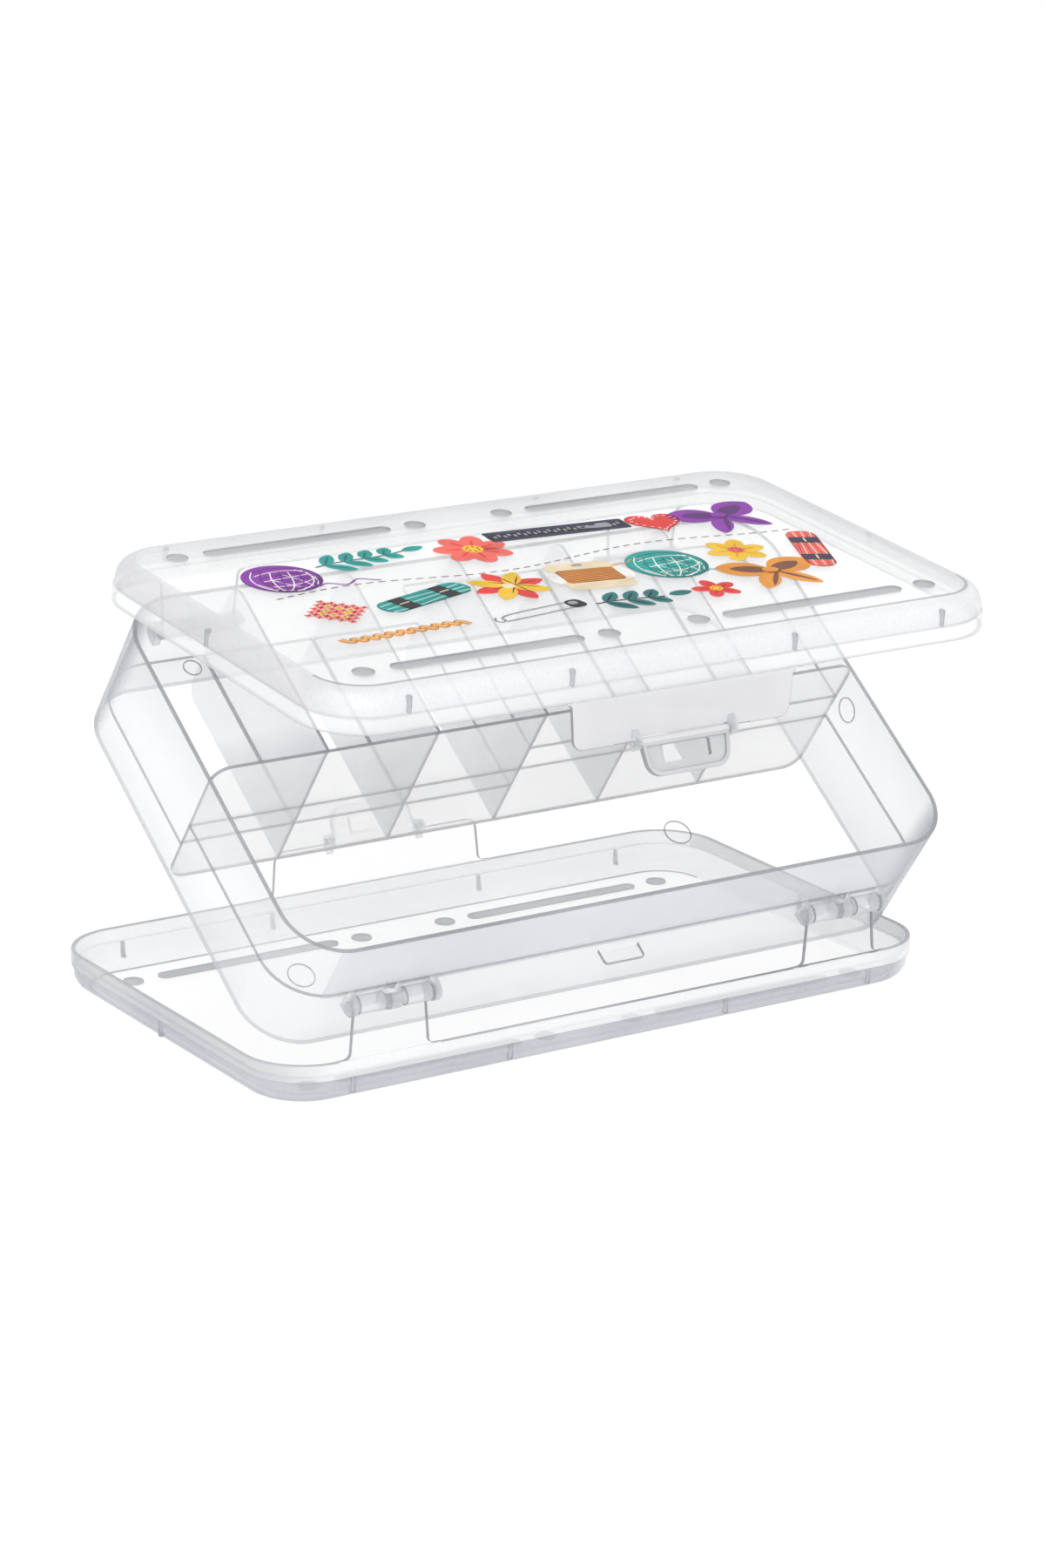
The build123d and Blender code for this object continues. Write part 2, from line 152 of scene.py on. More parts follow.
def plastic(name):
    values = plastics[name]
    made = newMaterial(name)
    place = addNode(made, "ShaderNodeTexCoord").outputs["Object"]
    flow = addNode(made, "ShaderNodeTexNoise", {"Scale": 22.0, "Detail": 2.0}, {"Vector": place})  # 45 mm drift
    facing = addNode(made, "ShaderNodeLayerWeight", {"Blend": 0.5})
    turned = addNode(made, "ShaderNodeMath", {"operation": "POWER", 1: values["turn"]},
                     {0: facing.outputs["Facing"]})
    density = addNode(made, "ShaderNodeMapRange",
                      {"To Min": values["clear"], "To Max": values["edgeOn"]},
                      {"Value": turned.outputs[0]})
    if "far" in values:  # painted shade by the partition: the grey haze thins upwards and to the back
        along = addNode(made, "ShaderNodeVectorMath", {"operation": "DOT_PRODUCT", 1: (0, 0.350, 0.937)}, {0: place})
        thin = addNode(made, "ShaderNodeMapRange",
                       {"From Min": 0.074, "From Max": 0.092, "To Min": values["clear"], "To Max": values["far"]},
                       {"Value": along.outputs["Value"]})
        made.node_tree.links.new(thin.outputs[0], density.inputs["To Min"])
    drift = addNode(made, "ShaderNodeMapRange", {"From Min": 0.3, "From Max": 0.7, "To Min": 0.86, "To Max": 1.14},
                    {"Value": flow.outputs["Fac"]})
    alpha = addNode(made, "ShaderNodeMath", {"operation": "MULTIPLY", "use_clamp": True},
                    {0: density.outputs[0], 1: drift.outputs[0]})
    ripple = addNode(made, "ShaderNodeTexNoise", {"Scale": 260.0, "Detail": 3.0}, {"Vector": place})  # 4 mm
    bump = addNode(made, "ShaderNodeBump", {"Strength": 0.015, "Distance": 0.0004},
                   {"Height": ripple.outputs["Fac"]})
    haze = alpha.outputs[0]
    paintedShadeTint = None
    normal = made.node_tree.nodes["Texture Coordinate"].outputs["Normal"]
    if "corner" in values:  # painted shade: the back left and front right corners of the open body turn from the light, so there the tint goes grey and the haze denser
        facing = addNode(made, "ShaderNodeSeparateXYZ", None, {0: normal})
        cross = addNode(made, "ShaderNodeMath", {"operation": "MULTIPLY"}, {0: facing.outputs[0], 1: facing.outputs[1]})
        share = addNode(made, "ShaderNodeMath", {"operation": "MULTIPLY", "use_clamp": True, 1: -2.45}, {0: cross.outputs[0]})
        haze = addNode(made, "ShaderNodeMath", {"operation": "MULTIPLY_ADD", "use_clamp": True, 1: values["corner"]},
                       {0: share.outputs[0], 2: haze}).outputs[0]
        paintedShadeTint = addNode(made, "ShaderNodeMix", {"data_type": "RGBA", 6: colour(values["colour"]), 7: colour("#A3A7B1")},
                       {0: share.outputs[0]}).outputs[2]
    if "paintedShadeToward" in values:  # painted light and shade: another tone where the face turns to one side: x, y, from, to and the tone
        x, y, low, high, tone = values["paintedShadeToward"]
        turned = addNode(made, "ShaderNodeVectorMath", {"operation": "DOT_PRODUCT", 1: (x, y, 0)}, {0: normal})
        share = addNode(made, "ShaderNodeMapRange", {"From Min": low, "From Max": high}, {"Value": turned.outputs["Value"]})
        paintedShadeTint = addNode(made, "ShaderNodeMix", {"data_type": "RGBA", 6: colour(values["colour"]), 7: colour(tone)},
                       {0: share.outputs[0]}).outputs[2]
    if "speckle" in values:  # the spark-eroded grain of the mould, about 1 mm across
        grain = addNode(made, "ShaderNodeTexNoise", {"Scale": 1000.0, "Detail": 2.0}, {"Vector": place})
        spread = addNode(made, "ShaderNodeMapRange", {"From Min": 0.35, "From Max": 0.65, "To Min": 1 - values["speckle"],
                                                      "To Max": 1 + values["speckle"]}, {"Value": grain.outputs["Fac"]})
        haze = addNode(made, "ShaderNodeMath", {"operation": "MULTIPLY", "use_clamp": True},
                       {0: haze, 1: spread.outputs[0]}).outputs[0]
    surface = addNode(made, "ShaderNodeBsdfPrincipled",
                      {"Base Color": colour(values["colour"]), "Roughness": values["roughness"], "IOR": 1.49},
                      {"Alpha": haze, "Normal": bump.outputs["Normal"]})
    if paintedShadeTint:
        made.node_tree.links.new(paintedShadeTint, surface.inputs["Base Color"])
    addNode(made, "ShaderNodeOutputMaterial", None, {"Surface": surface.outputs[0]})
    return made


finishes = [plastic(name) for name in plastics if name != "clearFilm"]
(clearFinish, rimFinish, recessFinish, seamFinish, thickFinish, plateFinish, satinFinish, bandFinish, shadedFinish,
 milkyFinish, softLineFinish, ribFinish, webFinish, hazyFinish, shadedWallFinish, endFinish,
 paleRimFinish, clipFinish, apronFinish, outerBandFinish) = range(len(finishes))


# Modelling helpers
def selectOnly(piece=None):
    active = bpy.context.view_layer.objects.active
    if active and active.mode != "OBJECT":
        bpy.ops.object.mode_set(mode="OBJECT")
    bpy.ops.object.select_all(action="DESELECT")
    if piece:
        piece.select_set(True)
        bpy.context.view_layer.objects.active = piece


def started(name):
    piece = bpy.context.object
    bpy.ops.object.transform_apply(location=True, rotation=True, scale=True)
    piece.name = piece.data.name = name
    for finish in finishes:
        piece.data.materials.append(finish)
    return piece


def startBlock(name, low, high):
    selectOnly()
    bpy.ops.mesh.primitive_cube_add(
        size=mm,
        location=[(a + b) / 2 * mm for a, b in zip(low, high)],
        scale=[b - a for a, b in zip(low, high)],
    )
    return started(name)


def startRod(name, radius, low, high, sides=32):
    # a round bar between two points that share two of their three places
    selectOnly()
    reach = [b - a for a, b in zip(low, high)]
    turn = (0, math.pi / 2, 0) if reach[0] else (math.pi / 2, 0, 0) if reach[1] else (0, 0, 0)
    bpy.ops.mesh.primitive_cylinder_add(
        vertices=sides,
        radius=radius * mm,
        depth=sum(reach) * mm,
        location=[(a + b) / 2 * mm for a, b in zip(low, high)],
        rotation=turn,
    )
    return started(name)


def pick(piece, kind, test):
    selectOnly(piece)
    bpy.ops.object.mode_set(mode="EDIT")
    bpy.ops.mesh.select_mode(type=kind)
    bpy.ops.mesh.select_all(action="DESELECT")
    shape = bmesh.from_edit_mesh(piece.data)
    shape.normal_update()
    for item in {"VERT": shape.verts, "EDGE": shape.edges, "FACE": shape.faces}[kind]:
        if test(item):
            item.select_set(True)
    bmesh.update_edit_mesh(piece.data)


def runs(edge, axis):
    line = (edge.verts[0].co - edge.verts[1].co).normalized()
    return abs(line[axis]) > 0.98


def level(item, axis, place):
    return all(abs(v.co[axis] - place * mm) < nearBy for v in item.verts)


def inset(width):
    bpy.ops.mesh.inset(thickness=width * mm)


def extrude(x, y, z):
    bpy.ops.mesh.extrude_region_move(TRANSFORM_OT_translate={"value": (x * mm, y * mm, z * mm)})


def roundEdges(piece, radius, steps, test):
    pick(piece, "EDGE", test)
    bpy.ops.mesh.bevel(offset=radius * mm, segments=steps, affect="EDGES")
    selectOnly(piece)


def bisect(piece, axis, place):
    selectOnly(piece)
    bpy.ops.object.mode_set(mode="EDIT")
    bpy.ops.mesh.select_all(action="SELECT")
    flat = [1.0 if i == axis else 0.0 for i in range(3)]
    bpy.ops.mesh.bisect(plane_co=[place * mm * f for f in flat], plane_no=flat)
    selectOnly(piece)


def paint(piece, finish, test=lambda face: True):
    for face in piece.data.polygons:
        if test(face):
            face.material_index = finish


def gather(pieces):
    selectOnly(pieces[0])
    for piece in pieces[1:]:
        piece.select_set(True)
    bpy.ops.object.join()
    return bpy.context.object


def combine(piece, other, how, overlapping=False):
    selectOnly(piece)
    tool = piece.modifiers.new("combine", "BOOLEAN")
    tool.operation = how
    tool.solver = "EXACT"
    tool.use_self = overlapping
    tool.object = other
    bpy.ops.object.modifier_apply(modifier="combine")
    bpy.data.objects.remove(other)
    return piece


def copyOf(piece, name):
    twin = piece.copy()
    twin.data = piece.data.copy()
    twin.name = twin.data.name = name
    bpy.context.scene.collection.objects.link(twin)
    return twin


def turnAbout(y, z, degrees):
    there = Matrix.Translation((0, y * mm, z * mm))
    return there @ Matrix.Rotation(math.radians(degrees), 4, "X") @ there.inverted()


def shift(x, y=0, z=0):
    return Matrix.Translation((x * mm, y * mm, z * mm))


def smooth(piece, angle=38):
    selectOnly(piece)
    bpy.ops.object.shade_smooth_by_angle(angle=math.radians(angle))


# The same pose as matrices
turnedOver = turnAbout(0, pose["closedHeight"] / 2, 180)
onBody = turnAbout(pose["hingeY"], pose["hingeZ"], pose["bodyOpen"])
backHinge = turnAbout(-pose["hingeY"], pose["closedHeight"] - pose["hingeZ"], -pose["topLidOpen"])
onTopLid = onBody @ backHinge @ turnedOver

# Lid: a stepped tray with a flat plate, modelled outer face down
lid = {
    "length": 250.0, "width": 148.5, "corner": 21.0, "height": 13.5, "wall": 1.4, "plate": 1.5,
    "edge": 6.0, "ledge": 9.0, "shelf": 7.8, "bandOut": 0.8, "ledgeIn": 1.7, "rimRound": 0.35,
    "ribWide": 1.6, "ribDeep": 3.0, "ribFoot": 2.6, "ribX": (41.0, 98.0),
    "dimple": 3.5, "dimpleDepth": 0.7, "dimpleX": (16.5, 103.5),
    "grooveX": 60.0, "grooveHalf": 34.0, "grooveWide": 2.6, "grooveDepth": 0.6, "markY": 56.2,
}


def lidTray():
    halfLength, halfWidth = lid["length"] / 2, lid["width"] / 2
    tray = startBlock("lid", (-halfLength, -halfWidth, lid["shelf"]), (halfLength, halfWidth, lid["height"]))
    roundEdges(tray, lid["corner"], 16, lambda e: runs(e, 2))
    pick(tray, "FACE", lambda f: f.normal.z < -0.9)
    inset(lid["bandOut"])
    extrude(0, 0, -lid["shelf"])
    pick(tray, "FACE", lambda f: f.normal.z > 0.9)
    inset(lid["wall"])
    extrude(0, 0, lid["ledge"] - lid["height"])
    inset(lid["ledgeIn"])
    extrude(0, 0, lid["plate"] - lid["ledge"])
    roundEdges(tray, lid["edge"], 8, lambda e: level(e, 2, 0))
    roundEdges(tray, lid["edge"] - lid["wall"], 6, lambda e: level(e, 2, lid["plate"]))
    roundEdges(tray, lid["rimRound"], 2, lambda e: level(e, 2, lid["height"]))
    roundEdges(tray, 0.5, 2, lambda e: level(e, 2, lid["shelf"]) and e.is_convex)
    roundEdges(tray, 0.3, 2, lambda e: level(e, 2, lid["ledge"]) and e.is_convex)
    return tray


def lidRibs():
    # small upright ribs on the skirt, almost flush with the band and closed off by the step
    ribs = []
    out = lid["ribDeep"] / 2
    inward = out + 0.06
    places = [(side * x, y * (lid["width"] / 2 - inward), 90) for x in lid["ribX"] for side in (-1, 1) for y in (-1, 1)]
    places += [(side * (lid["length"] / 2 - inward), 0, 0) for side in (-1, 1)]
    for x, y, turn in places:
        rib = startBlock("rib", (-out, -lid["ribWide"] / 2, lid["ribFoot"]), (out, lid["ribWide"] / 2, lid["shelf"] + 0.4))
        roundEdges(rib, 0.68, 5, lambda e: runs(e, 2))
        roundEdges(rib, 0.2, 1, lambda e: level(e, 2, lid["ribFoot"]))
        rib.data.transform(shift(x, y) @ Matrix.Rotation(math.radians(turn), 4, "Z"))
        paint(rib, ribFinish)
        ribs.append(rib)
    return gather(ribs)


def lidMarks():
    # cutters for the round dimples and the long shallow grooves in the plate's outer face
    cutters = []
    for y in (-lid["markY"], lid["markY"]):
        for side in (-1, 1):
            for x in lid["dimpleX"]:
                spot = startRod("dimple", lid["dimple"], (side * x, y, -1), (side * x, y, lid["dimpleDepth"]), 40)
                roundEdges(spot, 0.3, 2, lambda e: level(e, 2, lid["dimpleDepth"]))
                cutters.append(spot)
            middle = side * lid["grooveX"]
            slot = startBlock(
                "groove",
                (middle - lid["grooveHalf"], y - lid["grooveWide"], -1),
                (middle + lid["grooveHalf"], y + lid["grooveWide"], lid["grooveDepth"]),
            )
            roundEdges(slot, lid["grooveWide"] - 0.05, 6, lambda e: runs(e, 2))
            cutters.append(slot)
    for cutter in cutters:
        paint(cutter, recessFinish)
    return gather(cutters)


# Flaps on the lid's rim: the latch apron at the back and the hinge tabs in front
flapSizes = {
    "apronBase": 82.0, "apronTop": 79.4, "apronHeight": 28.8, "apronCorner": 3.4, "apronWall": 1.2, "lean": 3.0,
    "tabX": 85.2, "tabBase": 28.4, "tabTop": 25.6, "flare": 2.0, "root": 1.0,
    "lugStart": 16.5, "lugEnd": 18.9, "lugRadius": 2.2, "bore": 0.98, "notchFloor": 27.4,
    "pin": 1.6, "pinReach": 15.9, "knuckle": 3.0, "knuckleStart": 3.7, "knuckleEnd": 13.0,
}


def flap(name, base, top, height, corner, yLow, yHigh):
    side = base / 2
    strip = startBlock(name, (-side - 4, yLow, lid["height"] - flapSizes["root"]), (side + 4, yHigh, lid["height"]))
    bisect(strip, 0, -side)
    bisect(strip, 0, side)
    pick(strip, "FACE", lambda f: f.normal.z > 0.9 and abs(f.calc_center_median().x) < side * mm / 2)
    extrude(0, 0, height - lid["height"])
    bpy.ops.transform.resize(value=(top / base, 1, 1), center_override=(0, 0, height * mm))
    roundEdges(strip, flapSizes["flare"], 4, lambda e: runs(e, 1) and level(e, 2, lid["height"])
               and abs(abs(e.verts[0].co.x) - side * mm) < nearBy)
    if corner:
        roundEdges(strip, corner, 6, lambda e: runs(e, 1) and level(e, 2, height))
    roundEdges(strip, 0.25, 2, lambda e: e.calc_face_angle(0) > 1.2 and e.verts[0].co.z > lid["height"] * mm + nearBy
               and e.verts[1].co.z > lid["height"] * mm + nearBy)
    paint(strip, rimFinish, lambda f: abs(f.normal.y) < 0.97 and f.center.z > lid["height"] * mm)
    return strip


def latchApron():
    s = flapSizes
    outer = lid["width"] / 2
    apron = flap("apron", s["apronBase"], s["apronTop"], s["apronHeight"], s["apronCorner"], outer - s["apronWall"], outer)
    apron.data.transform(turnAbout(outer, lid["height"], -s["lean"]))
    notch = startBlock("notch", (-s["lugStart"], outer - 4, s["notchFloor"]), (s["lugStart"], outer + 4, 40))
    paint(notch, rimFinish)
    combine(apron, notch, "DIFFERENCE")
    lugs = []
    for side in (-1, 1):
        low, high = sorted((side * s["lugStart"], side * s["lugEnd"]))
        boss = startRod("lug", s["lugRadius"], (low, pose["clipY"], pose["clipZ"]), (high, pose["clipY"], pose["clipZ"]))
        foot = startBlock("foot", (low, outer - 0.3, pose["clipZ"] - 2 * s["lugRadius"]),
                          (high, pose["clipY"] + s["lugRadius"], pose["clipZ"]))
        roundEdges(foot, 2.6, 1, lambda e: runs(e, 0) and e.verts[0].co.z < (pose["clipZ"] - 4) * mm
                   and e.verts[0].co.y > outer * mm)
        lugs += [boss, foot]
    for lug in lugs:
        paint(lug, thickFinish)
    combine(apron, gather(lugs), "UNION", True)
    bore = startRod("bore", s["bore"], (-25, pose["clipY"], pose["clipZ"]), (25, pose["clipY"], pose["clipZ"]), 24)
    paint(bore, rimFinish)
    return combine(apron, bore, "DIFFERENCE")


def hingeTab():
    s = flapSizes
    outer = -lid["width"] / 2
    y, z = pose["hingeY"], pose["hingeZ"]
    tab = flap("tab", s["tabBase"], s["tabTop"], z, 0, outer, outer + lid["wall"])
    gap = startBlock("gap", (-s["knuckleStart"], outer - 4, z - 3.8), (s["knuckleStart"], outer + 4, z + 4))
    paint(gap, endFinish)
    combine(tab, gap, "DIFFERENCE")
    solids = [startRod("pin", s["pin"], (-s["pinReach"], y, z), (s["pinReach"], y, z), 24)]
    barrels = []
    for side in (-1, 1):
        low, high = sorted((side * s["knuckleStart"], side * s["knuckleEnd"]))
        barrel = startRod("barrel", s["knuckle"], (low, y, z), (high, y, z), 32)
        roundEdges(barrel, 0.3, 2, lambda e: e.calc_face_angle(0) > 1.2)
        barrels.append(barrel)
        solids.append(startBlock("neck", (low, y, z - s["knuckle"]), (high, outer + lid["wall"] - 0.1, z)))
    for solid in solids + barrels:
        paint(solid, thickFinish)
    for barrel in barrels:
        paint(barrel, rimFinish, lambda f: 0.15 < abs(f.normal.x) < 0.95)
    return combine(tab, gather(solids + barrels), "UNION", True)


def finishLid(moulding):
    # milky plate, satin skirt, clearer band and flaps, and a soft line where the plate turns into its round edge
    for face in moulding.data.polygons:
        middle = face.center / mm
        if face.material_index == rimFinish and lid["height"] - 0.4 < middle.z < lid["height"] + 0.01:
            face.material_index = paleRimFinish
        if face.material_index == clearFinish:
            if middle.z >= lid["height"]:
                face.material_index = plateFinish
            elif abs(face.normal.z) > 0.9999 and middle.z < lid["plate"] + 0.5:
                face.material_index = milkyFinish
            elif middle.z < 0.12:
                face.material_index = softLineFinish if face.center.y > (lid["width"] / 2 - 22) * mm else satinFinish
            elif middle.z > lid["shelf"] and abs(face.normal.z) < 0.5:
                face.material_index = bandFinish
            elif looksInward(face):
                face.material_index = bandFinish
            else:
                face.material_index = satinFinish


def looksInward(face):
    return face.normal.x * face.center.x * (lid["width"] / lid["length"]) ** 2 + face.normal.y * face.center.y < 0


def wholeLid():
    moulding = lidTray()
    print("lid tray done")
    paint(moulding, rimFinish, lambda f: f.center.z > (lid["height"] - 0.4) * mm)
    combine(moulding, lidRibs(), "UNION")
    combine(moulding, lidMarks(), "DIFFERENCE")
    print("lid ribs and marks done")
    combine(moulding, latchApron(), "UNION")
    tab = hingeTab()
    for side in (-1, 1):
        twin = copyOf(tab, "tab")
        twin.data.transform(shift(side * flapSizes["tabX"]))
        combine(moulding, twin, "UNION")
    bpy.data.objects.remove(tab)
    finishLid(moulding)
    smooth(moulding)
    print("lid apron and hinge tabs done")
    return moulding


bottomLid = wholeLid()
bottomLid.name = bottomLid.data.name = "bottom_lid_moulding"
topLid = copyOf(bottomLid, "top_lid_moulding")
paint(topLid, apronFinish, lambda f: f.material_index == plateFinish and f.center.y > 0
      and f.center.z > lid["height"] * mm)  # the top apron catches the light, as the bottom one doesn't
paint(bottomLid, shadedFinish, lambda f: f.material_index == satinFinish and not looksInward(f)
      and max(f.normal.xy.normalized()) < 0.7)  # painted shade in front, at the left and round the corners next to them
# painted shade: the lower lid's band outside, grey at its left end
paint(bottomLid, outerBandFinish, lambda f: f.material_index == bandFinish and f.normal.y < 0.5 and not looksInward(f))
paint(bottomLid, bandFinish, lambda f: f.material_index == satinFinish)
paint(bottomLid, ribFinish, lambda f: f.material_index == paleRimFinish)
paint(bottomLid, plateFinish, lambda f: f.material_index == milkyFinish)
topLid.data.transform(onTopLid)
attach(bottomLid, "bottom_lid")
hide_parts("bottom_lid", "bottom_lid_apron", "bottom_hinge_tab_left", "bottom_hinge_tab_right")
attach(topLid, "top_lid")
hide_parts("top_lid", "top_lid_apron", "top_hinge_tab_left", "top_hinge_tab_right")

# Tray body: wall ring with hinge ears and catches, then the webs and floors inside it
body = {
    "length": 245.4, "width": 143.9, "corner": 19.0, "depth": 46.0, "wall": 1.4, "rimRound": 0.3,
    "web": 1.3, "crossWeb": 1.2, "proud": 3.4, "webCorner": 6.2, "floor": 1.4, "columns": 6, "step": 9.3,
    "earRadius": 3.3, "earBore": 1.68, "cheeks": ((-15.9, -13.5), (13.5, 15.9)),
    "postWall": 3.2, "postPin": 2.0, "postArm": 1.2, "pocket": 2.2, "markLine": 0.4, "into": 0.3,
    "catchHalf": 7.5, "catchReach": 5.5, "catchFace": 35.85, "catchThick": 1.4,
}
innerHalf = body["length"] / 2 - body["wall"]
innerWidth = body["width"] / 2 - body["wall"]
middleZ = pose["closedHeight"] / 2


def wallRing():
    x, y, z = body["length"] / 2, body["width"] / 2, body["depth"] / 2
    ring = startBlock("ring", (-x, -y, middleZ - z), (x, y, middleZ + z))
    roundEdges(ring, body["corner"], 16, lambda e: runs(e, 2))
    pick(ring, "FACE", lambda f: abs(f.normal.z) > 0.9)
    inset(body["wall"])
    bpy.ops.mesh.bridge_edge_loops()
    selectOnly(ring)
    roundEdges(ring, body["rimRound"], 2, lambda e: level(e, 2, middleZ - z) or level(e, 2, middleZ + z))
    bisect(ring, 2, middleZ)
    # painted shade: the front wall above the floor is greyer
    paint(ring, shadedWallFinish, lambda f: f.center.y < (1 - y) * mm and f.center.z > middleZ * mm)
    paint(ring, rimFinish, lambda f: f.center.z - middleZ * mm > (z - 0.35) * mm)
    paint(ring, paleRimFinish, lambda f: middleZ * mm - f.center.z > (z - 0.35) * mm)
    return ring


def pinMark(piece, across, point, axis, reach=0.25):
    # the round mark that an ejector pin leaves: a thin sunk ring
    low = [c - (reach if i == axis else 0) for i, c in enumerate(point)]
    high = [c + (reach if i == axis else 0) for i, c in enumerate(point)]
    ring = startRod("mark", across / 2, low, high, 48)
    pick(ring, "FACE", lambda f: abs(f.normal[axis]) > 0.9)
    inset(body["markLine"])
    bpy.ops.mesh.bridge_edge_loops()
    selectOnly(ring)
    paint(ring, seamFinish)
    combine(piece, ring, "DIFFERENCE")


def hingeEars():
    # two round cheeks on arms, and between them a post that narrows from the wall to the pin
    y, z, radius = pose["hingeY"], pose["hingeZ"], body["earRadius"]
    wallFace = -body["width"] / 2
    post = startBlock("post", (-body["postWall"], y, z - radius), (body["postWall"], wallFace, z + radius))
    pick(post, "FACE", lambda f: f.normal.y < -0.9)
    bpy.ops.transform.resize(value=(body["postPin"] / body["postWall"], 1, 1), center_override=(0, y * mm, z * mm))
    pick(post, "FACE", lambda f: f.normal.y > 0.9)
    extrude(0, 0.4, 0)
    roundEdges(post, 0.2, 2, lambda e: abs(e.calc_face_angle(0)) > 1.2)
    tip = y + body["postArm"]
    pocket = startBlock("pocket", (body["postArm"] - body["postWall"], tip, z + radius - body["pocket"]),
                        (body["postWall"] - body["postArm"], wallFace, z + radius + 1))
    pick(pocket, "FACE", lambda f: f.normal.y < -0.9)
    bpy.ops.transform.resize(value=(0.08, 1, 1), center_override=(0, tip * mm, z * mm))
    selectOnly(pocket)
    paint(post, thickFinish)
    paint(pocket, rimFinish)
    solids = [combine(post, pocket, "DIFFERENCE")]
    rods = [(-body["postPin"], body["postPin"])] + [(low, high) for low, high in body["cheeks"]]
    for low, high in rods:
        cheek = startRod("cheek", radius, (low, y, z), (high, y, z), 32)
        roundEdges(cheek, 0.3, 2, lambda e: e.calc_face_angle(0) > 1.2)
        paint(cheek, thickFinish)
        paint(cheek, endFinish, lambda f: abs(f.normal.x) > 0.95)
        paint(cheek, ribFinish, lambda f: 0.15 < abs(f.normal.x) < 0.95)
        solids.append(cheek)
    for low, high in body["cheeks"]:
        arm = startBlock("arm", (low, y, z - radius), (high, wallFace + 0.4, z + radius))
        paint(arm, thickFinish)
        paint(arm, endFinish, lambda f: abs(f.normal.x) > 0.5)
        solids.append(arm)
    ears = gather(solids)
    bore = startRod("bore", body["earBore"], (-20, y, z), (20, y, z), 24)
    paint(bore, endFinish)
    return combine(ears, bore, "DIFFERENCE", True)


def catchTongue():
    y = body["width"] / 2
    top = body["catchFace"]
    tongue = startBlock("catch", (-body["catchHalf"], y - 0.4, top - body["catchThick"]),
                        (body["catchHalf"], y + body["catchReach"], top))
    roundEdges(tongue, 1.2, 3, lambda e: runs(e, 2) and e.verts[0].co.y > y * mm)
    roundEdges(tongue, 0.2, 2, lambda e: e.calc_face_angle(0) > 1.2)
    paint(tongue, rimFinish, lambda f: abs(f.normal.z) < 0.8)
    paint(tongue, plateFinish, lambda f: abs(f.normal.z) >= 0.8)
    return tongue


def trayWall():
    ring = wallRing()
    ears = hingeEars()
    tongue = catchTongue()
    fittings = []
    for side in (-1, 1):
        for over in (Matrix.Identity(4), turnedOver):
            pair = copyOf(ears, "ears")
            pair.data.transform(over @ shift(side * flapSizes["tabX"]))
            fittings.append(pair)
    for over in (Matrix.Identity(4), turnedOver):
        twin = copyOf(tongue, "catch")
        twin.data.transform(over)
        fittings.append(twin)
    bpy.data.objects.remove(ears)
    bpy.data.objects.remove(tongue)
    combine(ring, gather(fittings), "UNION")
    pinMark(ring, 8.8, (body["length"] / 2 - body["wall"], -7.0, middleZ + 10.6), 0)
    smooth(ring)
    return ring


def webPlate(name, low, high, axis, ends, haze, dense):
    # an upright wall with round corners at its ends; dense says which of its edge faces show as lines
    plate = startBlock(name, low, high)
    across = 1 - axis
    roundEdges(plate, body["webCorner"], 6, lambda e: runs(e, across)
               and any(abs(e.verts[0].co[axis] - end * mm) < nearBy for end in ends))
    roundEdges(plate, 0.2, 2, lambda e: e.calc_face_angle(0) > 1.2)
    paint(plate, haze)
    paint(plate, rimFinish, lambda f: abs(f.normal[across]) < 0.8 and dense(f))
    smooth(plate)
    return plate


def floorPlate(name, low, high, corners):
    # its edges run a little way into the walls; corners: the (x side, y side) of each corner that follows
    # the wall's round one
    into = body["into"]
    plate = startBlock(name, (low[0] - into, low[1] - into, low[2]), (high[0] + into, high[1] + into, high[2]))
    radius = body["corner"] - body["wall"] + into
    middle = [(a + b) / 2 for a, b in zip(low, high)]
    for side in corners:
        roundEdges(plate, radius, 10, lambda e: runs(e, 2) and len(e.link_faces) == 2
                   and all((e.verts[0].co[i] - middle[i] * mm) * side[i] > 0 for i in (0, 1))
                   and all(abs(f.normal.x) > 0.99 or abs(f.normal.y) > 0.99 for f in e.link_faces))
    paint(plate, plateFinish)
    paint(plate, seamFinish, lambda f: abs(f.normal.z) < 0.8)
    return plate


def place(piece, matrix, rider, *nodes):
    piece.data.transform(matrix)
    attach(piece, rider)
    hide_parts(*nodes)
    return piece


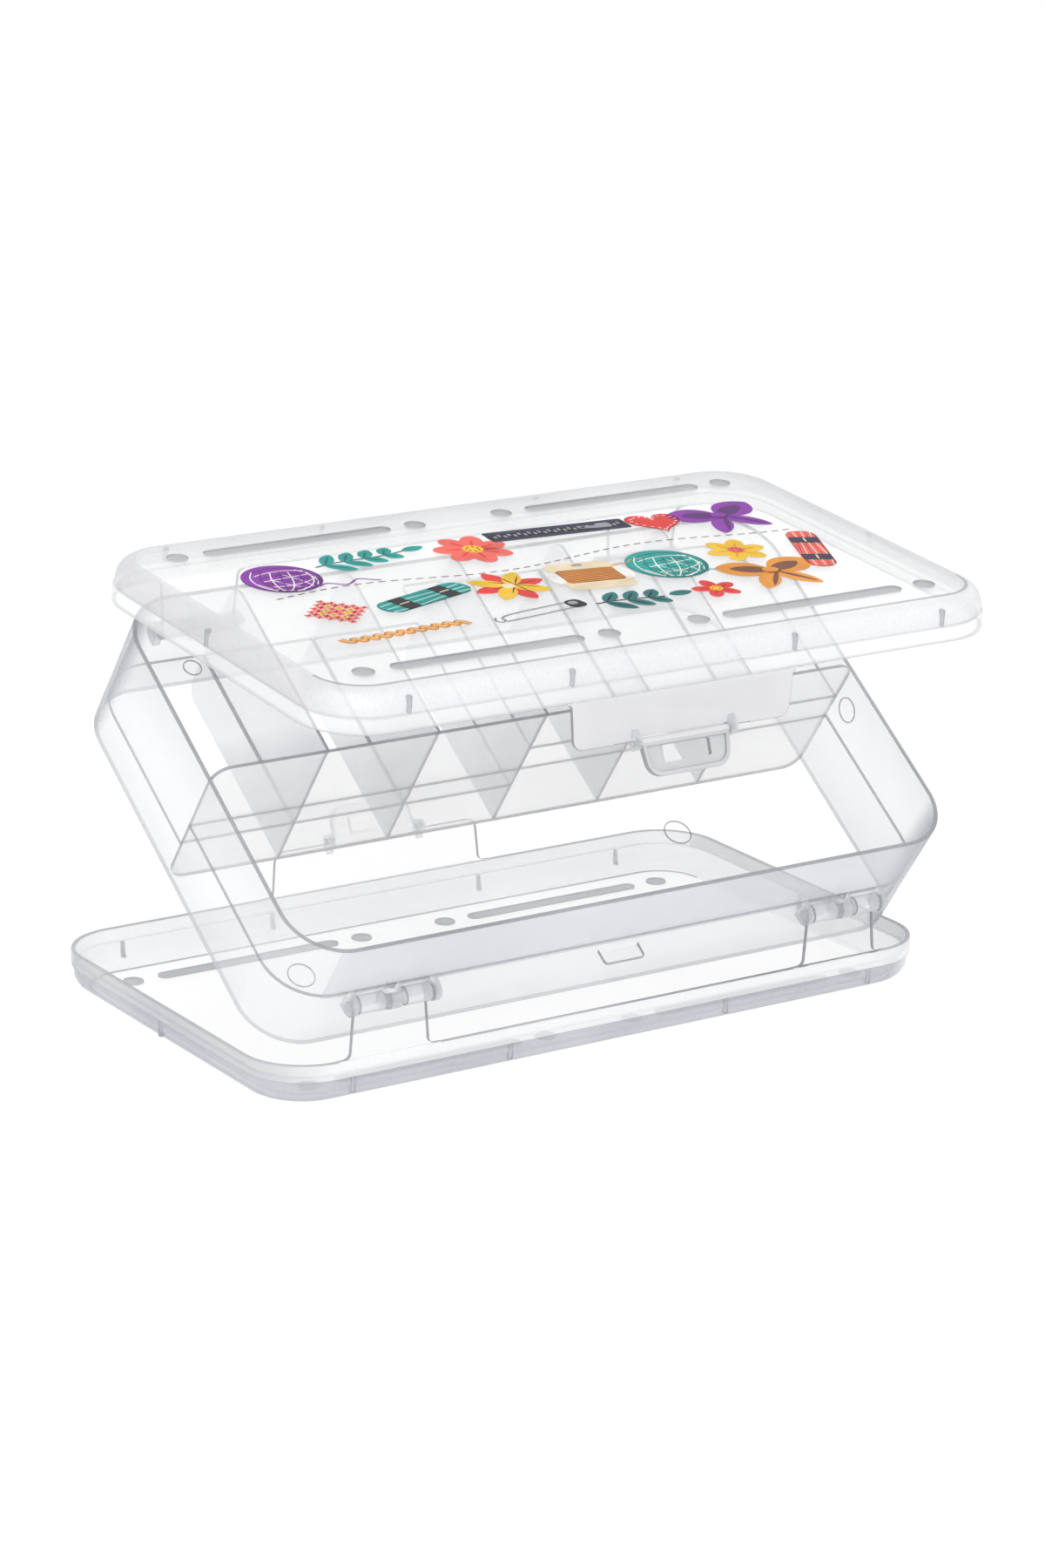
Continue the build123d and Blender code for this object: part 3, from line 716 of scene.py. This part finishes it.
def buildBody():
    half = body["floor"] / 2
    webHalf, crossHalf = body["web"] / 2, body["crossWeb"] / 2
    reach = body["depth"] / 2 + body["proud"]
    low, high = middleZ - reach, middleZ + reach
    wall = trayWall()
    wall.name = wall.data.name = "tray_wall"
    place(wall, onBody, "tray_body", "body_wall", "front_hinge_ears_left", "front_hinge_ears_right",
          "back_hinge_ears_left", "back_hinge_ears_right", "front_catch", "back_catch")
    print("tray wall done")
    long = webPlate("long_partition", (-innerHalf, -webHalf, low), (innerHalf, webHalf, high), 0,
                    (-innerHalf, innerHalf), hazyFinish, lambda f: True)
    place(long, onBody, "tray_body", "partition")
    pitch = 2 * innerHalf / body["columns"]
    for number in range(1, body["columns"]):
        x = -innerHalf + number * pitch
        cross = webPlate(f"cross_divider_{number}", (x - crossHalf, webHalf - body["into"], low), (x + crossHalf, innerWidth, high),
                         1, (innerWidth,), webFinish, lambda f: f.normal.y < -0.8 or f.normal.z > 0.5)
        place(cross, onBody, "tray_body", f"divider_{number}")
    front = floorPlate("long_floor", (-innerHalf, -innerWidth, middleZ - half), (innerHalf, -webHalf, middleZ + half),
                       ((-1, -1), (1, -1)))
    pinMark(front, 9.5, (41.3, -35.9, middleZ + half), 2)
    pinMark(front, 9.0, (-111.5, -62.0, middleZ + half), 2)
    place(front, onBody, "tray_body", "front_floor")
    for number in range(1, body["columns"] + 1):
        first, last = number == 1, number == body["columns"]
        left = -innerHalf + (number - 1) * pitch + (0 if first else crossHalf)
        right = -innerHalf + number * pitch - (0 if last else crossHalf)
        z = middleZ + (-1 if number <= body["columns"] / 2 else 1) * body["step"]
        corners = ((-1, 1),) if first else ((1, 1),) if last else ()
        panel = floorPlate(f"thread_floor_{number}", (left, webHalf, z - half), (right, innerWidth, z + half), corners)
        if first:
            pinMark(panel, 6.4, (-87.3, 66.1, z + half), 2)
        place(panel, onBody, "tray_body", f"column_floor_{number}")
    print("partition, dividers and floors done")


buildBody()

# Latch clip: a framed window below a barrel with a trunnion at each end
clip = {
    "half": 16.2, "foot": 14.8, "length": 11.0, "thick": 0.8, "border": 1.5, "borderHeight": 0.7, "corner": 4.6,
    "windowHalf": 8.7, "windowStart": 1.7, "windowEnd": 7.0, "barrel": 1.5, "trunnion": 0.9, "reach": 18.9,
}


def latchClip():
    plate = startBlock("clip", (-clip["half"], -clip["thick"], 0),
                       (clip["half"], clip["thick"] + clip["borderHeight"], clip["length"]))
    pick(plate, "FACE", lambda f: f.normal.z > 0.9)
    bpy.ops.transform.resize(value=(clip["foot"] / clip["half"], 1, 1), center_override=(0, 0, clip["length"] * mm))
    roundEdges(plate, clip["corner"], 8, lambda e: runs(e, 1) and level(e, 2, clip["length"]))
    pick(plate, "FACE", lambda f: f.normal.y > 0.9)
    inset(clip["border"])
    extrude(0, -clip["borderHeight"], 0)
    roundEdges(plate, 0.3, 2, lambda e: e.calc_face_angle(0) > 1.0 and e.is_convex)
    paint(plate, clipFinish)
    paint(plate, rimFinish, lambda f: abs(f.normal.y) < 0.8)
    window = startBlock("window", (-clip["windowHalf"], -4, clip["windowStart"]),
                        (clip["windowHalf"], 4, clip["windowEnd"]))
    roundEdges(window, 0.6, 3, lambda e: runs(e, 1))
    paint(window, rimFinish)
    combine(plate, window, "DIFFERENCE")
    bars = [
        startRod("barrel", clip["barrel"], (-clip["half"], 0, 0), (clip["half"], 0, 0), 24),
        startRod("trunnion", clip["trunnion"], (-clip["reach"], 0, 0), (clip["reach"], 0, 0), 20),
    ]
    for bar in bars:
        paint(bar, apronFinish)
    combine(plate, gather(bars), "UNION", True)
    plate.data.transform(turnAbout(pose["clipY"], pose["clipZ"], -pose["clipOpen"]) @ shift(0, pose["clipY"], pose["clipZ"]))
    smooth(plate)
    return plate


bottomClip = latchClip()
bottomClip.name = bottomClip.data.name = "bottom_clip_buckle"
topClip = copyOf(bottomClip, "top_clip_buckle")
paint(bottomClip, paleRimFinish, lambda f: f.material_index == rimFinish)
paint(bottomClip, plateFinish, lambda f: f.material_index in (clipFinish, apronFinish))  # this one lies in full light
place(bottomClip, Matrix.Identity(4), "bottom_clip", "bottom_latch_clip")
place(topClip, onTopLid, "top_clip", "top_latch_clip")
print("latch clips done")

# Printed film on the top lid
film = {"length": 204.0, "width": 92.0, "corner": 8.0, "thick": 0.2}


def filmSheet():
    sheet = startBlock("film_sheet", (-film["length"] / 2, -film["width"] / 2, -film["thick"]),
                       (film["length"] / 2, film["width"] / 2, 0))
    roundEdges(sheet, film["corner"], 8, lambda e: runs(e, 2))
    return sheet


filmPiece = filmSheet()
clearFilm = plastic("clearFilm")
filmPiece.data.materials.clear()
filmPiece.data.materials.append(clearFilm)
place(filmPiece, onTopLid, "top_lid", "print_film")

# Screen-printed ink on polypropylene film: flat satin colour with a fine grain from the mesh
inkColours = {
    "tealInk": "#14A29B", "darkTealInk": "#0C6F70", "redInk": "#E83834", "coralInk": "#F56B5E",
    "yellowInk": "#F5C72B", "orangeInk": "#EC9A35", "purpleInk": "#8C34AA", "darkPurpleInk": "#5B2472",
    "brownInk": "#7C4A33", "creamInk": "#F2DFBC", "blackInk": "#1E1B20", "navyInk": "#322C4B", "greyInk": "#9A9DA3",
    "paleInk": "#F7F4EE", "darkRedInk": "#A82A2C",
}


def ink(name):
    made = newMaterial(name)
    place = addNode(made, "ShaderNodeTexCoord").outputs["Object"]
    grain = addNode(made, "ShaderNodeTexNoise", {"Scale": 900.0, "Detail": 2.0}, {"Vector": place})  # 1.1 mm
    wash = addNode(made, "ShaderNodeTexNoise", {"Scale": 110.0, "Detail": 1.0}, {"Vector": place})  # 9 mm
    both = addNode(made, "ShaderNodeMath", {"operation": "MULTIPLY_ADD", 1: 0.35}, {0: grain.outputs["Fac"], 2: wash.outputs["Fac"]})
    share = addNode(made, "ShaderNodeMapRange", {"From Min": 0.4, "From Max": 0.95}, {"Value": both.outputs[0]})
    full = colour(inkColours[name])
    deep = [c * 0.74 for c in full[:3]] + [1.0]
    tone = addNode(made, "ShaderNodeMix", {"data_type": "RGBA", 6: full, 7: deep}, {0: share.outputs[0]})
    surface = addNode(made, "ShaderNodeBsdfPrincipled", {"Roughness": 0.5, "IOR": 1.3}, {"Base Color": tone.outputs[2]})
    addNode(made, "ShaderNodeOutputMaterial", None, {"Surface": surface.outputs[0]})
    return made


inks = {name: ink(name) for name in inkColours}

# The print: sewing and craft motifs, drawn flat in the film's own plane (right, up, out)
printing = {"layer": 0.035}
onPrint = onTopLid @ Matrix.Rotation(math.pi, 4, "X")


def inked(piece, name, inkName, layer):
    # gives a flat outline its ink and its height on the film
    piece.data.materials.clear()
    piece.data.materials.append(inks[inkName])
    pick(piece, "FACE", lambda f: True)
    extrude(0, 0, (layer + 1) * printing["layer"])
    bpy.ops.mesh.select_all(action="SELECT")
    bpy.ops.mesh.normals_make_consistent(inside=False)
    selectOnly(piece)
    piece.name = name
    return piece


def disc(u, v, across, up, inkName, layer, turn=0, sides=40):
    selectOnly()
    bpy.ops.mesh.primitive_circle_add(vertices=sides, radius=1, fill_type="NGON")
    piece = bpy.context.object
    piece.data.transform(Matrix.Diagonal((across * mm, up * mm, 1, 1)))
    piece.data.transform(Matrix.Translation((u * mm, v * mm, film["thick"] * mm)) @ Matrix.Rotation(math.radians(turn), 4, "Z"))
    return inked(piece, "disc", inkName, layer)


def leaf(u, v, length, width, inkName, layer, turn=0):
    # a circle drawn out to two points; u, v is its foot
    selectOnly()
    bpy.ops.mesh.primitive_circle_add(vertices=32, radius=1, fill_type="NGON")
    piece = bpy.context.object
    for point in piece.data.vertices:
        x, y = point.co.x, point.co.y
        point.co = ((x + 1) / 2 * length * mm, y * abs(y) ** 0.5 * width / 2 * mm, 0)
    piece.data.transform(Matrix.Translation((u * mm, v * mm, film["thick"] * mm)) @ Matrix.Rotation(math.radians(turn), 4, "Z"))
    return inked(piece, "leaf", inkName, layer)


def bar(u, v, length, width, inkName, layer, turn=0, corner=0.4):
    selectOnly()
    bpy.ops.mesh.primitive_plane_add(size=mm, scale=(1, 1, 1))
    piece = bpy.context.object
    piece.data.transform(Matrix.Diagonal((length, width, 1, 1)))
    pick(piece, "VERT", lambda p: True)
    bpy.ops.mesh.bevel(offset=corner * mm, segments=4, affect="VERTICES")
    selectOnly(piece)
    piece.data.transform(Matrix.Translation((u * mm, v * mm, film["thick"] * mm)) @ Matrix.Rotation(math.radians(turn), 4, "Z"))
    return inked(piece, "bar", inkName, layer)


def line(points, width, inkName, layer, closed=False):
    # a printed thread: a round curve pressed flat
    path = bpy.data.curves.new("line", "CURVE")
    path.dimensions = "3D"
    path.bevel_depth = width / 2 * mm
    path.bevel_resolution = 1
    path.resolution_u = 4
    path.use_fill_caps = True
    spline = path.splines.new("NURBS")
    spline.points.add(len(points) - 1)
    for point, (u, v) in zip(spline.points, points):
        point.co = (u * mm, v * mm, 0, 1)
    spline.order_u = 3
    spline.use_endpoint_u = not closed
    spline.use_cyclic_u = closed
    holder = bpy.data.objects.new("line", path)
    bpy.context.scene.collection.objects.link(holder)
    selectOnly(holder)
    bpy.ops.object.convert(target="MESH")
    piece = bpy.context.object
    piece.data.transform(shift(0, 0, film["thick"]) @ Matrix.Diagonal((1, 1, 2 * (layer + 1) * printing["layer"] / width, 1)))
    piece.data.materials.clear()
    piece.data.materials.append(inks[inkName])
    return piece


def motif(name, shapes, u=0, v=0, turn=0, grow=1.22):
    piece = gather(shapes)
    piece.name = piece.data.name = "print_" + name
    piece.data.transform(onPrint @ shift(u, v) @ Matrix.Rotation(math.radians(turn), 4, "Z") @ Matrix.Diagonal((grow, grow, 1, 1)))
    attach(piece, "top_lid")


def around(radius, degrees):
    return radius * math.cos(math.radians(degrees)), radius * math.sin(math.radians(degrees))


def yarnBall(name, u, v, radius, base, dark, light, tail):
    shapes = [disc(0, 0, radius, radius, dark, 0), disc(-0.3, 0.4, radius * 0.95, radius * 0.95, base, 1)]
    for family, (lean, low, high) in enumerate(((25, -70, 10), (95, -60, 35), (160, -30, 72))):
        for step in range(-3, 4):
            strand = []
            for number in range(7):
                along = math.radians(low + (high - low) * number / 6)
                x = radius * 0.88 * step / 3.4 * math.cos(along)
                y = radius * 0.93 * math.sin(along)
                spin = math.radians(lean)
                strand.append((x * math.cos(spin) - y * math.sin(spin), x * math.sin(spin) + y * math.cos(spin)))
            shapes.append(line(strand, 0.5, light if (step + family) % 2 else dark, 2 + family))
    waves = [(radius * 0.6 + tail * i / 9, -radius * 0.82 + 1.6 * math.sin(i * 1.25)) for i in range(10)]
    shapes.append(line(waves, 0.6, base, 1))
    motif(name, shapes, u, v)


def flower(name, u, v, radius, petals, base, dark, core, turn=0):
    shapes = []
    for number in range(petals):
        angle = 360 / petals * number
        x, y = around(radius * 0.56, angle)
        shapes.append(disc(x, y, radius * 0.46, radius * 0.30, base, number % 2, angle))
        x, y = around(radius * 0.46, angle)
        shapes.append(disc(x, y, radius * 0.22, radius * 0.035, dark, 2, angle, 16))
    shapes.append(disc(0, 0, radius * 0.27, radius * 0.27, core, 3))
    for number in range(7):
        x, y = around(radius * 0.16, number * 51.4)
        shapes.append(disc(x, y, radius * 0.035, radius * 0.035, "brownInk", 4, 0, 10))
    motif(name, shapes, u, v, turn)


def skein(name, u, v, length, base, dark, band, turn):
    shapes = [bar(0, 0, length, 8.4, dark, 0, 0, 3.9), bar(0, 0.2, length - 0.7, 7.7, base, 1, 0, 3.6)]
    for number in range(6):
        side = number - 2.5
        sag = [(length / 2 * 0.93 * (i / 4 - 1), side * (1.18 + 0.22 * math.sin(i / 8 * math.pi * 2))) for i in range(9)]
        shapes.append(line(sag, 0.4, dark if number % 2 else "paleInk", 2))
    for side in (-1, 1):
        shapes.append(bar(side * length * 0.24, 0, length * 0.15, 8.0, band, 3, 0, 0.5))
        shapes.append(bar(side * length * 0.24, 0, length * 0.11, 0.5, "creamInk", 4, 0, 0.1))
    motif(name, shapes, u, v, turn)


def heart(name, u, v, size, base, dark, turn):
    def outline(scale, inkName, layer):
        selectOnly()
        bpy.ops.mesh.primitive_circle_add(vertices=56, radius=1, fill_type="NGON")
        piece = bpy.context.object
        for point in piece.data.vertices:
            angle = math.atan2(point.co.x, point.co.y)
            x = 16 * math.sin(angle) ** 3
            y = 13 * math.cos(angle) - 5 * math.cos(2 * angle) - 2 * math.cos(3 * angle) - math.cos(4 * angle)
            point.co = (x / 34 * scale * mm, (y + 2) / 34 * scale * mm, film["thick"] * mm)
        return inked(piece, "heart", inkName, layer)
    shapes = [outline(size, dark, 0), outline(size * 0.95, base, 1)]
    for number in range(26):
        angle = 2 * math.pi * (number + 0.5) / 26
        x = 16 * math.sin(angle) ** 3
        y = 13 * math.cos(angle) - 5 * math.cos(2 * angle) - 2 * math.cos(3 * angle) - math.cos(4 * angle)
        shapes.append(disc(x / 34 * size * 0.8, (y + 2) / 34 * size * 0.8, 0.55, 0.2, "paleInk", 2,
                           math.degrees(math.atan2(math.cos(angle), -math.sin(angle))), 8))
    motif(name, shapes, u, v, turn)


def bobbinCard(name, u, v, thread, dark, turn):
    shapes = [bar(0, 0, 19, 20, "creamInk", 0, 0, 2.6), bar(0, 8.2, 3, 1.4, "greyInk", 1, 0, 0.6)]
    shapes += [disc(side * 10, 0, 2.0, 4.6, "paleInk", 1) for side in (-1, 1)]
    shapes.append(bar(0, 0, 16.5, 9.6, dark, 2, 0, 1.2))
    for number in range(9):
        y = -4.1 + number * 1.02
        shapes.append(line([(-8.1, y - 0.3), (-3, y), (3, y), (8.1, y + 0.3)], 0.85, thread, 3 + number % 2))
    shapes.append(line([(7.8, 4.3), (10, 7), (14, 6), (16, 9.5), (20, 8)], 0.5, thread, 2))
    motif(name, shapes, u, v, turn)


def ribbonBow(name, u, v, base, dark, turn):
    shapes = [leaf(0, 0, 15, 11, base, 1, angle) for angle in (22, 158)]
    shapes += [leaf(0, 0, 11, 5, dark, 2, angle) for angle in (22, 158)]
    shapes += [leaf(0, 0, 15, 6, base, 0, angle) for angle in (-58, -124)]
    shapes += [leaf(1, -1, 12, 1.4, dark, 1, angle) for angle in (-58, -124)]
    shapes += [disc(0, 0, 2.7, 2.3, dark, 3), disc(-0.2, 0.3, 2.3, 1.9, base, 4)]
    motif(name, shapes, u, v, turn)


def sprig(name, u, v, base, dark, turn, pairs=4):
    stem = [(i * 4.0 - 3, 0.6 * math.sin(i * 0.9)) for i in range(pairs * 2)]
    shapes = [line(stem, 0.7, dark, 0)]
    for number in range(pairs):
        x = number * 6.2
        for side in (-1, 1):
            shapes.append(leaf(x, 0, 8.6 - number, 4.0, base, 1, side * 48))
            shapes.append(leaf(x, 0, 7.0 - number, 0.7, dark, 2, side * 48))
    shapes.append(leaf(pairs * 6.2, 0, 7, 3.4, base, 1, 4))
    motif(name, shapes, u, v, turn)


def quiltStar(name, u, v, size, first, second, turn):
    shapes = []
    for number in range(8):
        angle = number * 45
        shapes.append(leaf(0.4, 0, size, size * 0.46, first if number % 2 else second, number % 2, angle))
        shapes.append(leaf(size * 0.2, 0, size * 0.62, 0.5, "brownInk", 2, angle))
    shapes.append(disc(0, 0, size * 0.16, size * 0.16, "creamInk", 3))
    motif(name, shapes, u, v, turn)


def crossStitch(name, u, v, reach, pitch, colours, turn):
    shapes = []
    for i in range(-reach, reach + 1):
        for j in range(-reach, reach + 1):
            if abs(i) + abs(j) <= reach:
                tone = colours[(abs(i) + abs(j)) % len(colours)]
                shapes += [bar(i * pitch, j * pitch, pitch * 1.1, pitch * 0.36, tone, (i + j) % 2, lean, 0.15)
                           for lean in (45, 135)]
    motif(name, shapes, u, v, turn)


def rickrack(name, u, v, waves, base, dark, turn):
    path = [(i * 2.1, 2.6 * (-1) ** i) for i in range(waves)]
    motif(name, [line(path, 2.6, base, 0), line(path, 0.35, dark, 4)], u, v, turn, 1)


def runningStitch(name, count, length, low, high, height, inkName):
    shapes = []
    for number in range(count):
        share = (number + 0.5) / count
        x = low + (high - low) * share
        y = height + 3.2 * math.sin(share * 11)
        slope = math.degrees(math.atan2(3.2 * 11 / (high - low) * math.cos(share * 11), 1))
        shapes.append(bar(x, y, length, 0.5, inkName, 0, slope, 0.2))
    motif(name, shapes, 0, 0, 0, 1)


def safetyPin(name, u, v, turn):
    loop = [(-13, 1.9), (-14.6, 0.4), (-13.6, -1.7), (-11.6, -0.9), (-12, 0.9), (-9, 2.3), (2, 2.2), (11, 1.9)]
    shapes = [line(loop, 0.7, "greyInk", 1), line([(-12, -1.6), (0, -2.1), (11, -1.9)], 0.7, "greyInk", 0)]
    shapes += [bar(12, 0, 5, 5.4, "blackInk", 2, 0, 1.8), bar(11.6, 0.6, 2.6, 2.2, "greyInk", 3, 0, 0.8)]
    motif(name, shapes, u, v, turn)


def zipFastener(name, u, v, length, turn):
    shapes = [bar(0, 0, length, 7.4, "navyInk", 0, 0, 0.8), bar(0, 0, length - 1, 3.0, "blackInk", 1, 0, 0.3)]
    count = int(length / 1.5) - 2
    for number in range(count):
        side = 1 if number % 2 else -1
        shapes.append(bar(-length / 2 + 2.2 + number * 1.5, side * 0.45, 0.8, 1.6, "greyInk", 2, 0, 0.2))
    shapes += [bar(length / 2 - 7, 0, 4.4, 3.4, "greyInk", 3, 0, 1.0), bar(length / 2 - 11.5, -0.4, 6.4, 2.0, "greyInk", 4, -8, 0.9),
               disc(length / 2 - 13.3, -0.2, 0.6, 0.6, "blackInk", 5, 0, 12)]
    motif(name, shapes, u, v, turn)


def drawPrint():
    runningStitch("running_stitch", 46, 2.6, -96, 96, 8.5, "brownInk")
    yarnBall("yarn_purple", -84, 25, 10.5, "purpleInk", "darkPurpleInk", "paleInk", 17)
    sprig("sprig_long", -65, 31, "tealInk", "darkTealInk", 6)
    flower("flower_coral", -13, 27, 10.5, 7, "coralInk", "redInk", "yellowInk", 10)
    zipFastener("zip", 23, 33, 42, -4)
    heart("heart", 58, 27, 17, "redInk", "darkRedInk", -8)
    ribbonBow("bow", 82, 26, "purpleInk", "darkPurpleInk", 6)
    crossStitch("cross_stitch", -84, -8, 4, 2.0, ("redInk", "coralInk", "yellowInk"), 0)
    skein("skein_teal", -52, -7, 31, "tealInk", "darkTealInk", "blackInk", 16)
    quiltStar("quilt_star", -22, -8, 11, "yellowInk", "redInk", 8)
    bobbinCard("bobbin_card", 8, -9, "orangeInk", "brownInk", -7)
    yarnBall("yarn_teal", 37, -9, 11, "tealInk", "darkTealInk", "paleInk", 12)
    flower("flower_yellow", 66, -6, 8.5, 6, "yellowInk", "orangeInk", "coralInk", 0)
    skein("skein_coral", 90, -14, 29, "coralInk", "darkRedInk", "navyInk", 68)
    rickrack("rickrack", -96, -33, 22, "orangeInk", "creamInk", 3)
    safetyPin("safety_pin", -26, -32, 8)
    sprig("sprig_short", -2, -33, "darkTealInk", "blackInk", -3, 3)
    flower("flower_red", 38, -35, 6.5, 5, "redInk", "darkRedInk", "yellowInk", 20)
    ribbonBow("bow_small", 65, -27, "orangeInk", "brownInk", -4)


drawPrint()
print("film and print done")

# Floor, light and camera
studio = {"floor": 6.0, "fill": 0.84, "key": 7.0, "side": 3.0, "front": 5.0}


def seenDirectly(material):
    # 1 for camera, glossy and transmission rays
    rays = addNode(material, "ShaderNodeLightPath")
    first = addNode(material, "ShaderNodeMath", {"operation": "MAXIMUM"},
                    {0: rays.outputs["Is Camera Ray"], 1: rays.outputs["Is Glossy Ray"]})
    return addNode(material, "ShaderNodeMath", {"operation": "MAXIMUM"},
                   {0: first.outputs[0], 1: rays.outputs["Is Transmission Ray"]}).outputs[0]


def studioFloor():
    selectOnly()
    bpy.ops.mesh.primitive_plane_add(size=2 * studio["floor"], location=(0, 0, -0.0004))
    floor = started("studio_floor")
    floor.data.materials.clear()
    paper = newMaterial("whitePaper")
    seen = seenDirectly(paper)
    share = addNode(paper, "ShaderNodeMath", {"operation": "MULTIPLY", 1: 0.86}, {0: seen})
    matt = addNode(paper, "ShaderNodeBsdfDiffuse", {"Color": colour("#F4F4F4")})
    glow = addNode(paper, "ShaderNodeEmission", {"Strength": 1.1})
    mixed = addNode(paper, "ShaderNodeMixShader", None,
                    {0: share.outputs[0], 1: matt.outputs[0], 2: glow.outputs[0]})
    addNode(paper, "ShaderNodeOutputMaterial", None, {"Surface": mixed.outputs[0]})
    floor.data.materials.append(paper)


def studioWorld():
    world = bpy.data.worlds.new("studio")
    bpy.context.scene.world = world
    world.use_nodes = True
    world.node_tree.nodes.clear()
    seen = seenDirectly(world)
    soft = addNode(world, "ShaderNodeBackground", {"Color": (1, 1, 1, 1), "Strength": studio["fill"]})
    white = addNode(world, "ShaderNodeBackground", {"Color": (1, 1, 1, 1), "Strength": 1.0})
    mixed = addNode(world, "ShaderNodeMixShader", None, {0: seen, 1: soft.outputs[0], 2: white.outputs[0]})
    addNode(world, "ShaderNodeOutputWorld", None, {"Surface": mixed.outputs[0]})


def areaLamp(name, place, target, size, power):
    lamp = bpy.data.lights.new(name, "AREA")
    lamp.size = size
    lamp.energy = power
    holder = bpy.data.objects.new(name, lamp)
    holder.location = place
    holder.rotation_euler = (Vector(target) - Vector(place)).to_track_quat("-Z", "Y").to_euler()
    bpy.context.scene.collection.objects.link(holder)


studioFloor()
studioWorld()
areaLamp("key_lamp", (-0.9, -0.7, 1.5), (0, 0, 0.07), 1.2, studio["key"])
areaLamp("side_lamp", (1.3, 0.4, 1.0), (0, 0, 0.07), 1.0, studio["side"])
areaLamp("front_lamp", (-0.6, -1.5, 0.5), (0, 0, 0.05), 0.9, studio["front"])

camera = {
    "place": (-0.78694, -1.21424, 0.50491), "turn": (73.1409, -0.8107, -33.0422), "lens": 107.15,
}
eye = bpy.data.cameras.new("camera")
eye.sensor_fit = "VERTICAL"
eye.sensor_height = 36
eye.lens = camera["lens"]
eye.clip_start = 0.01
holder = bpy.data.objects.new("camera", eye)
holder.location = camera["place"]
holder.rotation_euler = [math.radians(a) for a in camera["turn"]]
bpy.context.scene.collection.objects.link(holder)
bpy.context.scene.camera = holder

bpy.context.scene.view_settings.view_transform = "Standard"
bpy.context.scene.cycles.transparent_max_bounces = 96
print("studio done")
